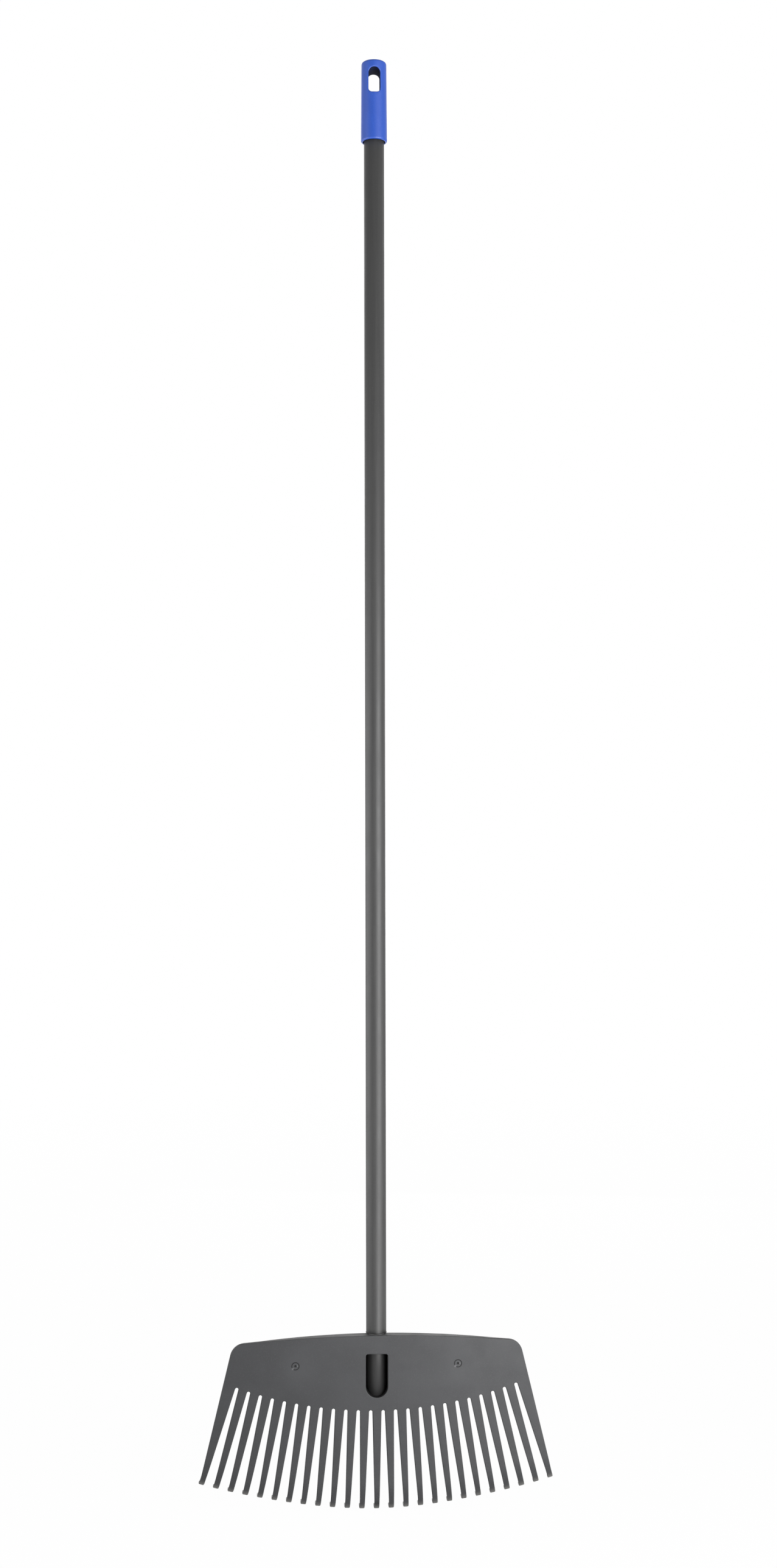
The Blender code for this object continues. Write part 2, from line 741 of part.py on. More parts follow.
def make_head():
    """Return the moulded head: fan, flange, ribs and socket in one piece."""
    head = make_fan()
    head = combine(head, make_flange(), "UNION")
    for side in (-1, 1):
        for drop, slope in zip(RIB_DROPS, RIB_SLOPES):
            head = combine(head, make_rib(side, drop, slope), "UNION")
    head = combine(head, make_socket_body(), "UNION")
    head = combine(head, make_bore_cutter(), "DIFFERENCE")
    head = combine(head, make_window_cutter(), "DIFFERENCE")
    for side in (-1, 1):
        for cutter in make_gate_cutters(side):
            head = combine(head, cutter, "DIFFERENCE")
    hole = rod("screw_cutter", SCREW_DIAMETER / 2 + TOUCH_GAP, SOCKET_RADIUS, SCREW_STEPS)
    hole.location = (0.0, -SCREW_DROP, -SOCKET_RADIUS)
    head = combine(head, hole, "DIFFERENCE")
    head.rotation_euler = (math.pi / 2, 0.0, 0.0)
    head.location.z = HEAD_TOP
    return head


def make_screw():
    """Return the pan-head screw, its axis along Y and its head behind the socket."""
    head_radius = SCREW_HEAD_DIAMETER / 2
    shank_radius = SCREW_DIAMETER / 2
    seat = SOCKET_RADIUS + TOUCH_GAP
    tip = SHAFT_RADIUS - SHAFT_WALL - SCREW_REACH
    crown = [(0.0, seat + SCREW_HEAD_HEIGHT)]
    crown += [
        (head_radius * math.sin(a), seat + SCREW_HEAD_HEIGHT * math.cos(a))
        for a in (math.radians(30), math.radians(55), math.radians(75), math.radians(90))
    ]
    profile = crown + [
        (shank_radius, seat),
        (shank_radius, tip + shank_radius),
        (0.0, tip),
    ]
    screw = turned_solid("retaining_screw", profile, SCREW_STEPS)
    for turn in (0.0, math.pi / 2):
        bm = bmesh.new()
        bmesh.ops.create_cube(bm, size=1.0)
        size = (SCREW_RECESS_LENGTH, SCREW_RECESS_WIDTH, 2 * SCREW_RECESS_DEPTH)
        bmesh.ops.scale(bm, vec=size, verts=bm.verts)
        slot = object_from_bmesh("recess_cutter", bm)
        slot.rotation_euler.z = turn
        slot.location.z = seat + SCREW_HEAD_HEIGHT
        screw = combine(screw, slot, "DIFFERENCE")
    screw.rotation_euler.x = -math.pi / 2
    screw.location.z = HEAD_TOP - SCREW_DROP
    return screw


def build():
    """Build the rake's four pieces."""
    clear_scene()
    parts = make_collection("leaf_rake")
    blue = make_material("blue_grip_plastic", (0.05, 0.12, 0.46), 0.5)
    paint = make_material("charcoal_tube_paint", (0.07, 0.07, 0.07), 0.4, 0.3)
    moulding = make_material("charcoal_moulding", (0.09, 0.09, 0.095), 0.5)
    zinc = make_material("zinc_plated_steel", (0.55, 0.55, 0.55), 0.35, 1.0)
    finish_part(make_grip(), parts, blue)
    finish_part(make_shaft(), parts, paint)
    finish_part(make_head(), parts, moulding)
    finish_part(make_screw(), parts, zinc)


build()
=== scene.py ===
"""Looks of the leaf rake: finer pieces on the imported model, their finishes and the studio.

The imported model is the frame, in metres, +Z up, with the front of the head towards -Y and the
origin under the top of the hanging slot. The grip and the tube are turned afresh, the head
takes its shape from its solid, and the screw keeps its solid.
"""

import json
import logging
import math
from dataclasses import dataclass, replace
from enum import Enum

import bmesh
import bpy
from mathutils import Matrix, Vector
from mathutils.bvhtree import BVHTree

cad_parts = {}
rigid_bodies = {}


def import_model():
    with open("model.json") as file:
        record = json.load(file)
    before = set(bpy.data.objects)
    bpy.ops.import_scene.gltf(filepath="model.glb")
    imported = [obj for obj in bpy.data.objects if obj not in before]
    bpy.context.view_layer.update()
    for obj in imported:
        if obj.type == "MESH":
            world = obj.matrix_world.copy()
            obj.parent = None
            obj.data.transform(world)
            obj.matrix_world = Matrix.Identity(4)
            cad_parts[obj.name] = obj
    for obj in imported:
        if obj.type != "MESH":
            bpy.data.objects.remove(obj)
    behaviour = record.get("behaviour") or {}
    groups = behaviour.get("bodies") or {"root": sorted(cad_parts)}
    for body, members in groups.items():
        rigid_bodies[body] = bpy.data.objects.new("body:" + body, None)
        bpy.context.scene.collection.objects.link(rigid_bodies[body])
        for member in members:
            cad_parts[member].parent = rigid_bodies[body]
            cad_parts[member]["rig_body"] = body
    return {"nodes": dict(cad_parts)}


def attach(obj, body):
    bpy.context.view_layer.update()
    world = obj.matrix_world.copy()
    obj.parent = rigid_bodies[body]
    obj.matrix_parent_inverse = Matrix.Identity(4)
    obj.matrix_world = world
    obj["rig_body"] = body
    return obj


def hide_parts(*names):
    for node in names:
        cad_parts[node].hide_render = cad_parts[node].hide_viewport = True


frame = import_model()

Colour = tuple[float, float, float]
Place = tuple[float, float, float]
Section = list[tuple[float, float]]
Socket = bpy.types.NodeSocket

LOG = logging.getLogger("leaf_rake")
BODY = "root"
BODY_KEY = "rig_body"
# Stored share of painted shade in hollows, in the window and in the gate marks.
PAINTED_SHADE = "painted_shade"
# Stored share of a painted floor reflection on the hooks' undersides.
TIP_REFLECTION = "tip_reflection"
MERGE = 0.00001
CUT_WELD = 0.00003
FACE_WEIGHT = 80
# Inner and outer radius of the painted shadow round the tube on the head's top.
TUBE_CONTACT_SHADE = (0.0126, 0.0150)
PHOTO_WIDTH = 1277
PHOTO_HEIGHT = 2576
CENTRE = (0.0, 0.0, 0.0)
UNSTRETCHED = (1.0, 1.0, 1.0)
FLATTENED = (1.0, 1.0, 0.0)
UPRIGHT = (0.0, 0.0, 1.0)
WHITE = (1.0, 1.0, 1.0)


class Node(Enum):
    """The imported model's nodes."""

    GRIP = "hanging_grip"
    TUBE = "shaft_tube"
    HEAD = "rake_head"
    SCREW = "retaining_screw"


class Slot(Enum):
    """The record's material slots."""

    GRIP = "grip_plastic"
    TUBE = "tube_paint"
    HEAD = "head_plastic"
    SCREW = "screw_steel"


class Side(Enum):
    """The two faces that the hanging slot goes through."""

    FRONT = -1
    BACK = 1


class GripFinish(Enum):
    """The grip's finishes, by their place on its mesh."""

    SKIN = 0
    SLOT_PAINTED_SHADE = 1


class HeadFinish(Enum):
    """The head's finishes, by their place on its mesh."""

    SKIN = 0
    LIP_HIGHLIGHT = 1
    FLANGE = 2
    GATE_MARK = 3


class Ease(Enum):
    """How a range of values is mapped to another."""

    SMOOTH = "SMOOTHSTEP"
    EVEN = "LINEAR"


@dataclass(frozen=True)
class Pattern:
    """A noise, in features per metre, and the part of it that runs from least to most."""

    scale: float
    detail: float
    low: float
    high: float
    least: float = 0.0
    most: float = 1.0


@dataclass(frozen=True)
class Grain:
    """A relief made of noise: features per metre, finer octaves and depth in metres."""

    scale: float
    detail: float
    depth: float


class NodeSketch:
    """Adds and links the nodes of one shader tree."""

    def __init__(self, tree: bpy.types.NodeTree) -> None:
        """Keep the tree that the nodes go into."""
        self.tree = tree

    def node(self, kind: str, **settings: object) -> bpy.types.Node:
        """Add a shader node.

        Args:
            kind: The node's type.
            **settings: Values for the node's own properties.

        Returns:
            The new node.
        """
        made = self.tree.nodes.new(kind)
        for key, value in settings.items():
            setattr(made, key, value)
        return made

    def join(self, output: Socket, target: Socket) -> None:
        """Link an output to an input."""
        self.tree.links.new(output, target)

    def feed(self, value: Socket | Colour | float, target: Socket) -> None:
        """Link an output to an input, or write a fixed colour or number into it.

        Args:
            value: The output, colour or number.
            target: The input.
        """
        if isinstance(value, Socket):
            self.join(value, target)
        elif isinstance(value, tuple):
            target.default_value = (*value, 1.0)
        else:
            target.default_value = value

    def remap(self, value: Socket, low: float, high: float, least: float, most: float,
              ease: Ease = Ease.SMOOTH) -> Socket:
        """Map a range of values to another, clamped at its ends.

        Args:
            value: What is mapped.
            low: Start of the old range.
            high: End of the old range.
            least: Start of the new range.
            most: End of the new range.
            ease: How the values run between the ends.

        Returns:
            The mapped value.
        """
        mapped = self.node("ShaderNodeMapRange", interpolation_type=ease.value)
        ends = {"From Min": low, "From Max": high, "To Min": least, "To Max": most}
        for key, number in ends.items():
            mapped.inputs[key].default_value = number
        self.join(value, mapped.inputs["Value"])
        return mapped.outputs["Result"]

    def length(self, vector: Socket) -> Socket:
        """Measure a vector.

        Args:
            vector: The vector.

        Returns:
            Its length.
        """
        length = self.node("ShaderNodeVectorMath", operation="LENGTH")
        self.join(vector, length.inputs[0])
        return length.outputs["Value"]

    def choice(self, test: Socket, no: Socket | float, yes: Socket | float) -> Socket:
        """Add a choice between two values.

        Args:
            test: 0 or 1.
            no: The value at 0.
            yes: The value at 1.

        Returns:
            The chosen value.
        """
        mix = self.node("ShaderNodeMix")
        self.join(test, mix.inputs["Factor"])
        self.feed(no, mix.inputs["A"])
        self.feed(yes, mix.inputs["B"])
        return mix.outputs["Result"]

    def by_ray(self, other: float, glossy: Socket | float, seen: Socket | float) -> Socket:
        """Choose a value by the kind of ray.

        Args:
            other: For the rays that light the object.
            glossy: For its reflections.
            seen: For the camera, and for what shows through something clear.

        Returns:
            The chosen value.
        """
        path = self.node("ShaderNodeLightPath")
        level = self.choice(path.outputs["Is Glossy Ray"], other, glossy)
        for name in ("Is Transmission Ray", "Is Camera Ray"):
            level = self.choice(path.outputs[name], level, seen)
        return level


class FinishSketch(NodeSketch):
    """Lays out the shader nodes of one finish, on Object coordinates in metres."""

    def __init__(self, name: str) -> None:
        """Start a material with a Principled shader.

        Args:
            name: The material's name.
        """
        self.material = bpy.data.materials.new(name)
        self.material.use_nodes = True
        super().__init__(self.material.node_tree)
        self.shader = self.tree.nodes["Principled BSDF"]
        self.place = self.node("ShaderNodeTexCoord").outputs["Object"]

    def stretched(self, scale: Place = UNSTRETCHED, centre: Place = CENTRE) -> Socket:
        """Centre and scale the coordinates.

        Args:
            scale: How much each axis grows.
            centre: The point that becomes the origin.

        Returns:
            The new coordinates.
        """
        mapping = self.node("ShaderNodeMapping")
        mapping.inputs["Scale"].default_value = scale
        mapping.inputs["Location"].default_value = [-c * s for c, s in zip(centre, scale)]
        self.join(self.place, mapping.inputs["Vector"])
        return mapping.outputs["Vector"]

    def noise(self, scale: float, detail: float, place: Socket | None = None) -> Socket:
        """Add a noise.

        Args:
            scale: Features per metre.
            detail: Number of finer octaves.
            place: Coordinates other than the plain ones.

        Returns:
            The noise, from 0 to 1.
        """
        noise = self.node("ShaderNodeTexNoise")
        noise.inputs["Scale"].default_value = scale
        noise.inputs["Detail"].default_value = detail
        self.join(place or self.place, noise.inputs["Vector"])
        return noise.outputs["Fac"]

    def share(self, pattern: Pattern, place: Socket | None = None, base: float = 0.0) -> Socket:
        """Add a pattern.

        Args:
            pattern: The noise and its ranges.
            place: Coordinates other than the plain ones.
            base: What is added to its least and most.

        Returns:
            The pattern's value.
        """
        noise = self.noise(pattern.scale, pattern.detail, place)
        return self.remap(noise, pattern.low, pattern.high,
                          base + pattern.least, base + pattern.most)

    def tint(self, share: Socket, first: Socket | Colour, second: Colour) -> Socket:
        """Mix two colours.

        Args:
            share: How much of the second colour there is.
            first: A colour, or the output that gives it.
            second: The other colour.

        Returns:
            The mixed colour.
        """
        mix = self.node("ShaderNodeMix", data_type="RGBA")
        self.join(share, mix.inputs["Factor"])
        self.feed(first, mix.inputs["A"])
        self.feed(second, mix.inputs["B"])
        return mix.outputs["Result"]

    def product(self, first: Socket, second: Socket) -> Socket:
        """Multiply two values.

        Args:
            first: One value.
            second: The other value.

        Returns:
            Their product.
        """
        product = self.node("ShaderNodeMath", operation="MULTIPLY")
        self.join(first, product.inputs[0])
        self.join(second, product.inputs[1])
        return product.outputs["Value"]

    def painted(self, name: str) -> Socket:
        """Return a share that is stored on the mesh under a name."""
        return self.node("ShaderNodeAttribute", attribute_name=name).outputs["Fac"]

    def relief(self, grain: Grain, under: Socket | None = None) -> Socket:
        """Add a bump.

        Args:
            grain: The relief's noise and depth.
            under: A coarser relief that this one lies on.

        Returns:
            The bumped normal.
        """
        bump = self.node("ShaderNodeBump")
        bump.inputs["Distance"].default_value = grain.depth
        self.join(self.noise(grain.scale, grain.detail), bump.inputs["Height"])
        if under is not None:
            self.join(under, bump.inputs["Normal"])
        return bump.outputs["Normal"]

    def dress(self, colour: Socket, roughness: Socket, normal: Socket) -> bpy.types.Material:
        """Join the patterns to the shader.

        Args:
            colour: The base colour.
            roughness: The roughness.
            normal: The bumped normal.

        Returns:
            The finished material.
        """
        self.join(colour, self.shader.inputs["Base Color"])
        self.join(roughness, self.shader.inputs["Roughness"])
        self.join(normal, self.shader.inputs["Normal"])
        return self.material


@dataclass(frozen=True)
class Glint:
    """A small painted highlight in a gate mark, placed from the gate's centre."""

    across: float
    up: float
    reach: float


@dataclass(frozen=True)
class GateBlush:
    """The tint round a gate: a wide faint blush and two small painted highlights, the glints."""

    reach: float = 0.036
    core: float = 0.1
    share: float = 0.35
    glints: tuple[Glint, ...] = (Glint(-0.0031, -0.0031, 0.0019), Glint(0.0022, 0.0002, 0.0011))
    glint_core: float = 0.2
    glint_share: float = 0.55
    glint_colour: Colour = (0.1800, 0.1815, 0.1850)

    def spread(self, sketch: FinishSketch, colour: Socket, gate: Place, blush: Colour) -> Socket:
        """Tint the place round a gate and paint the glints' highlights on it.

        Args:
            sketch: The finish's nodes.
            colour: The colour so far.
            gate: The gate's centre.
            blush: The colour of the blush.

        Returns:
            The colour with the gate's tint.
        """
        distance = sketch.length(sketch.stretched(centre=gate))
        faint = sketch.remap(distance, self.reach * self.core, self.reach, self.share, 0.0)
        colour = sketch.tint(faint, colour, blush)
        # Painted highlights: the glints.
        for glint in self.glints:
            centre = (gate[0] + glint.across, gate[1], gate[2] + glint.up)
            distance = sketch.length(sketch.stretched(centre=centre))
            bright = sketch.remap(distance, glint.reach * self.glint_core, glint.reach,
                                  self.glint_share, 0.0)
            colour = sketch.tint(bright, colour, self.glint_colour)
        return colour


@dataclass(frozen=True)
class MouldedPlastic:
    """A matt moulded plastic with a fine spark-eroded grain.

    Where its mesh stores a share of painted shade or of a painted floor reflection, the
    colours given for them take over. The contact radii bound a painted shadow round the tube.
    """

    name: str
    colour: Colour
    cloud: Colour
    fleck: Colour
    roughness: float = 0.50
    gloss: float = 0.5
    ior: float = 1.5
    clouds: Pattern = Pattern(24.0, 3.0, 0.35, 0.65)
    flecks: Pattern = Pattern(900.0, 2.0, 0.52, 0.72, 0.0, 0.5)
    streaked: bool = False
    streaks: Pattern = Pattern(900.0, 2.0, 0.45, 0.65, 0.0, 0.7)
    streak_stretch: Place = (0.01, 1.0, 0.2)
    reflection_noise: Pattern = Pattern(1300.0, 3.0, 0.35, 0.65, 0.72, 1.0)
    dullness: Pattern = Pattern(46.0, 4.0, 0.3, 0.7, -0.04, 0.05)
    swell: Grain = Grain(70.0, 2.0, 0.00006)
    grain: Grain = Grain(2600.0, 2.0, 0.000018)
    gates: tuple[Place, ...] = ()
    gate_blush: GateBlush = GateBlush()
    painted_shade: Colour | None = None
    tip_reflection: Colour | None = None
    contact_shade: tuple[float, float] | None = None

    def material(self) -> bpy.types.Material:
        """Build the finish.

        Returns:
            The finished material.
        """
        sketch = FinishSketch(self.name)
        colour = sketch.tint(sketch.share(self.clouds), self.colour, self.cloud)
        colour = sketch.tint(sketch.share(self.flecks), colour, self.fleck)
        if self.streaked:
            along = sketch.stretched(self.streak_stretch)
            colour = sketch.tint(sketch.share(self.streaks, along), colour, self.fleck)
        for gate in self.gates:
            colour = self.gate_blush.spread(sketch, colour, gate, self.fleck)
        # Painted shadow round the tube.
        if self.contact_shade:
            from_tube = sketch.length(sketch.stretched(FLATTENED))
            colour = sketch.tint(sketch.remap(from_tube, *self.contact_shade, 1.0, 0.0),
                                 colour, self.painted_shade)
        # Painted shade where the mesh stores it.
        if self.painted_shade:
            colour = sketch.tint(sketch.painted(PAINTED_SHADE), colour, self.painted_shade)
        # Painted floor reflection on the hooks, broken up by noise.
        if self.tip_reflection:
            reflected = sketch.product(sketch.painted(TIP_REFLECTION), sketch.share(self.reflection_noise))
            colour = sketch.tint(reflected, colour, self.tip_reflection)
        roughness = sketch.share(self.dullness, base=self.roughness)
        normal = sketch.relief(self.grain, sketch.relief(self.swell))
        sketch.shader.inputs["IOR"].default_value = self.ior
        sketch.shader.inputs["Specular IOR Level"].default_value = self.gloss
        return sketch.dress(colour, roughness, normal)


@dataclass(frozen=True)
class TubeCoat:
    """A charcoal powder coat: orange peel, faint streaks, and a painted shadow above the head."""

    name: str = "charcoal_powder_coat"
    colour: Colour = (0.036, 0.036, 0.036)
    streak: Colour = (0.042, 0.042, 0.0415)
    fleck: Colour = (0.062, 0.062, 0.061)
    roughness: float = 0.47
    ior: float = 1.52
    streaks: Pattern = Pattern(420.0, 3.0, 0.35, 0.65)
    streak_stretch: Place = (1.0, 1.0, 0.02)
    flecks: Pattern = Pattern(1500.0, 1.0, 0.6, 0.75, 0.0, 0.6)
    dullness: Pattern = Pattern(30.0, 4.0, 0.3, 0.7, -0.03, 0.04)
    peel: Grain = Grain(650.0, 2.0, 0.00002)
    # Painted shadow on the tube just above the head.
    contact_shade_level: float = -1.5050
    contact_shade_reach: float = 0.0060
    contact_shade_share: float = 0.9
    contact_shade: Colour = (0.0120, 0.0120, 0.0120)

    def material(self) -> bpy.types.Material:
        """Build the finish.

        Returns:
            The finished material.
        """
        sketch = FinishSketch(self.name)
        along = sketch.stretched(self.streak_stretch)
        colour = sketch.tint(sketch.share(self.streaks, along), self.colour, self.streak)
        colour = sketch.tint(sketch.share(self.flecks), colour, self.fleck)
        height = sketch.node("ShaderNodeSeparateXYZ")
        sketch.join(sketch.place, height.inputs["Vector"])
        # Darker towards the head: painted shadow.
        low = sketch.remap(height.outputs["Z"], self.contact_shade_level,
                           self.contact_shade_level + self.contact_shade_reach, self.contact_shade_share, 0.0)
        colour = sketch.tint(low, colour, self.contact_shade)
        roughness = sketch.share(self.dullness, base=self.roughness)
        sketch.shader.inputs["IOR"].default_value = self.ior
        return sketch.dress(colour, roughness, sketch.relief(self.peel))


@dataclass(frozen=True)
class ZincPlate:
    """Bright zinc plating with dull clouds and a fine unevenness."""

    name: str = "bright_zinc_plate"
    colour: Colour = (0.62, 0.63, 0.64)
    dull: Colour = (0.50, 0.50, 0.49)
    roughness: float = 0.28
    clouds: Pattern = Pattern(500.0, 4.0, 0.35, 0.65)
    dullness: Pattern = Pattern(900.0, 3.0, 0.3, 0.7, 0.0, 0.15)
    scratches: Grain = Grain(5200.0, 2.0, 0.000006)

    def material(self) -> bpy.types.Material:
        """Build the finish.

        Returns:
            The finished material.
        """
        sketch = FinishSketch(self.name)
        colour = sketch.tint(sketch.share(self.clouds), self.colour, self.dull)
        roughness = sketch.share(self.dullness, base=self.roughness)
        sketch.shader.inputs["Metallic"].default_value = 1.0
        return sketch.dress(colour, roughness, sketch.relief(self.scratches))


def quarter_turn(steps: int) -> list[tuple[float, float]]:
    """Step evenly from 0 to 90 degrees.

    Args:
        steps: Number of steps.

    Returns:
        The sine and cosine of each angle.
    """
    angles = [math.pi / 2 * i / steps for i in range(steps + 1)]
    return [(math.sin(angle), math.cos(angle)) for angle in angles]


def turned(section: Section, steps: int, closed: bool) -> bmesh.types.BMesh:
    """Spin a section round the shaft's axis.

    Args:
        section: The section's points as (radius, height).
        steps: Number of faces round the whole turn.
        closed: Whether the last point joins the first.

    Returns:
        The turned shape, with its faces pointing outwards.
    """
    bm = bmesh.new()
    verts = [bm.verts.new((radius, 0.0, level)) for radius, level in section]
    ends = verts[1:] + verts[:1] if closed else verts[1:]
    edges = [bm.edges.new(pair) for pair in zip(verts, ends)]
    bmesh.ops.spin(bm, geom=verts + edges, cent=CENTRE, axis=UPRIGHT,
                   angle=math.tau, steps=steps, use_merge=True)
    bmesh.ops.remove_doubles(bm, verts=bm.verts, dist=MERGE)
    bmesh.ops.recalc_face_normals(bm, faces=bm.faces)
    return bm


def shade(mesh: bpy.types.Mesh, sharp: float) -> None:
    """Shade a mesh smooth but for the edges from an angle on."""
    mesh.shade_smooth()
    mesh.set_sharp_from_angle(angle=sharp)


def new_piece(name: str, bm: bmesh.types.BMesh, sharp: float) -> bpy.types.Object:
    """Turn a bmesh into a piece at the origin.

    Args:
        name: The piece's name.
        bm: Its shape, in place. It is freed.
        sharp: The angle between faces from which an edge is sharp.

    Returns:
        The piece, linked to the scene.
    """
    mesh = bpy.data.meshes.new(name)
    bm.to_mesh(mesh)
    bm.free()
    shade(mesh, sharp)
    piece = bpy.data.objects.new(name, mesh)
    bpy.context.scene.collection.objects.link(piece)
    return piece


def even_normals(piece: bpy.types.Object) -> None:
    """Let the large faces of a piece set the shading at their edges.

    Args:
        piece: The piece.
    """
    weighted = piece.modifiers.new("even_normals", "WEIGHTED_NORMAL")
    weighted.keep_sharp = True
    weighted.weight = FACE_WEIGHT


def cut_away(piece: bpy.types.Object, cutter: bpy.types.Object) -> None:
    """Cut a shape out of a piece and drop the cutter.

    Args:
        piece: What is cut.
        cutter: The shape that is cut out.
    """
    modifier = piece.modifiers.new("cut", "BOOLEAN")
    modifier.operation = "DIFFERENCE"
    modifier.object = cutter
    bpy.context.view_layer.update()
    shaped = piece.evaluated_get(bpy.context.evaluated_depsgraph_get())
    mesh = bpy.data.meshes.new_from_object(shaped)
    piece.modifiers.remove(modifier)
    bm = bmesh.new()
    bm.from_mesh(mesh)
    bmesh.ops.remove_doubles(bm, verts=bm.verts, dist=CUT_WELD)
    bmesh.ops.dissolve_degenerate(bm, edges=bm.edges, dist=CUT_WELD)
    bm.to_mesh(mesh)
    bm.free()
    piece.data = mesh
    bpy.data.objects.remove(cutter, do_unlink=True)


def dress(piece: bpy.types.Object, *finishes: MouldedPlastic | TubeCoat) -> None:
    """Give a cut piece its finishes in place of the ones it had.

    Args:
        piece: The piece.
        *finishes: Its finishes, in the order of their places on its mesh.
    """
    piece.data.materials.clear()
    for finish in finishes:
        piece.data.materials.append(finish.material())


@dataclass
class HangingGrip:
    """The blue cap on top of the tube, with the slot that the rake hangs by."""

    crown: float = 0.0088
    crown_ring: float = 0.5
    foot: float = -0.0858
    bore_top: float = -0.0354
    top_diameter: float = 0.0296
    foot_diameter: float = 0.0310
    bore_diameter: float = 0.0246
    top_round: float = 0.0024
    foot_round: float = 0.0018
    round_steps: int = 6
    mouth_gap: float = 0.0010
    mouth_depth: float = 0.0035
    mouth_round: float = 0.0003
    slot_width: float = 0.0139
    slot_height: float = 0.0298
    slot_top_share: float = 0.9999
    slot_top_steps: int = 20
    slot_corner: float = 0.0045
    slot_corner_steps: int = 8
    slot_foot_share: float = 0.9
    front_rim: float = 0.0014
    back_rim: float = 0.0030
    rim_steps: int = 6
    rim_turn: float = math.radians(84)
    rim_flare: float = 0.3
    rim_rise: float = 2.0
    slot_shade_margin: float = 0.2
    slot_shade_tilt: float = 0.3
    turn_steps: int = 128
    row_height: float = 0.0016
    sharp_angle: float = math.radians(50)
    skin: MouldedPlastic = MouldedPlastic(
        "blue_moulded_plastic", (0.006, 0.065, 0.420), (0.008, 0.071, 0.445),
        (0.028, 0.098, 0.480), roughness=0.47, gloss=0.88)
    # A darker copy of the blue, painting the shade inside the slot.
    slot_painted_shade: MouldedPlastic = MouldedPlastic(
        "blue_slot_painted_shade", (0.006, 0.009, 0.036), (0.006, 0.010, 0.040), (0.008, 0.012, 0.046),
        roughness=0.85, gloss=0.1)

    def radius(self, level: float) -> float:
        """Return the outer radius of the tapered skin at a height."""
        share = (self.crown - level) / (self.crown - self.foot)
        return (self.top_diameter + share * (self.foot_diameter - self.top_diameter)) / 2

    def profile(self) -> Section:
        """Draw the cap's section, from the crown's centre over the skin and up the bore.

        Returns:
            The section's points as (radius, height).
        """
        points = [(0.0, self.crown), (self.radius(self.crown) * self.crown_ring, self.crown)]
        top_radius = self.top_diameter / 2 - self.top_round
        foot_radius = self.foot_diameter / 2 - self.foot_round
        for sine, cosine in quarter_turn(self.round_steps):
            points.append((top_radius + self.top_round * sine,
                           self.crown - self.top_round * (1 - cosine)))
        low, high = self.foot + self.foot_round, self.crown - self.top_round
        rows = round((high - low) / self.row_height)
        for i in range(1, rows):
            level = high + (low - high) * i / rows
            points.append((self.radius(level), level))
        for sine, cosine in quarter_turn(self.round_steps):
            points.append((foot_radius + self.foot_round * cosine,
                           self.foot + self.foot_round * (1 - sine)))
        bore = self.bore_diameter / 2
        mouth = bore + self.mouth_gap
        mouth_top = self.foot + self.mouth_depth
        return points + [
            (mouth + self.mouth_round, self.foot), (mouth, self.foot + self.mouth_round),
            (mouth, mouth_top), (bore, mouth_top + self.mouth_gap),
            (bore, self.bore_top), (0.0, self.bore_top)]

    def slot_outline(self, bm: bmesh.types.BMesh) -> list[bmesh.types.BMEdge]:
        """Draw the slot's outline in the plane y = 0: a rectangle with a round top.

        Args:
            bm: Where it is drawn.

        Returns:
            The outline's edges.
        """
        half = self.slot_width / 2
        foot = -self.slot_height
        corners = [bm.verts.new(place) for place in (
            (-half, 0, foot), (half, 0, foot), (half, 0, 0), (-half, 0, 0))]
        bm.faces.new(corners)
        bmesh.ops.bevel(bm, geom=corners[2:], offset=half * self.slot_top_share,
                        segments=self.slot_top_steps, profile=0.5, affect="VERTICES", material=-1)
        low = [vert for vert in bm.verts if vert.co.z < foot * self.slot_foot_share]
        bmesh.ops.bevel(bm, geom=low, offset=self.slot_corner,
                        segments=self.slot_corner_steps, profile=0.5, affect="VERTICES",
                        material=-1)
        bmesh.ops.remove_doubles(bm, verts=bm.verts, dist=MERGE)
        bmesh.ops.delete(bm, geom=bm.faces[:], context="FACES_ONLY")
        return bm.edges[:]

    def rim_path(self, side: Side) -> list[tuple[float, float]]:
        """Lay out how the slot flares to round its rim.

        Args:
            side: The face that it goes through.

        Returns:
            How far the outline grows and how deep it lies under the skin, at each step.
        """
        rim = self.front_rim if side is Side.FRONT else self.back_rim
        path = [(0.0, rim)]
        for i in range(1, self.rim_steps + 1):
            angle = self.rim_turn * i / self.rim_steps
            path.append((rim * (1 - math.cos(angle)), rim * (1 - math.sin(angle))))
        path.append((path[-1][0] + rim * self.rim_flare, -self.rim_rise * rim))
        return path

    def flared(self, bm: bmesh.types.BMesh, ring: list[bmesh.types.BMEdge], side: Side) -> None:
        """Extrude the slot's outline out through the skin, flared to round its rim.

        Args:
            bm: Where the outline is.
            ring: The outline's edges.
            side: The face that it goes through.
        """
        middle = -self.slot_height / 2
        outline = {vert: vert.co.copy() for edge in ring for vert in edge.verts}
        for grow, depth in self.rim_path(side):
            made = bmesh.ops.extrude_edge_only(bm, edges=ring)["geom"]
            ring = [item for item in made if isinstance(item, bmesh.types.BMEdge)]
            grown = {}
            for vert in (item for item in made if isinstance(item, bmesh.types.BMVert)):
                grown[vert] = min(outline.values(), key=lambda place: (
                    abs(place.x - vert.co.x) + abs(place.z - vert.co.z)))
            for vert, place in grown.items():
                x = place.x * (1 + grow / (self.slot_width / 2))
                z = middle + (place.z - middle) * (1 + grow / (self.slot_height / 2))
                skin = math.sqrt(self.radius(z) ** 2 - x * x)
                vert.co = (x, side.value * (skin - depth), z)
            outline = grown
        bmesh.ops.edgeloop_fill(bm, edges=ring)

    def slot_cutter(self) -> bpy.types.Object:
        """Shape the cutter for the slot, open to both faces of the grip.

        Returns:
            The cutter.
        """
        bm = bmesh.new()
        ring = self.slot_outline(bm)
        self.flared(bm, ring, Side.FRONT)
        self.flared(bm, ring, Side.BACK)
        bmesh.ops.recalc_face_normals(bm, faces=bm.faces)
        return new_piece("slot_cutter", bm, math.pi)

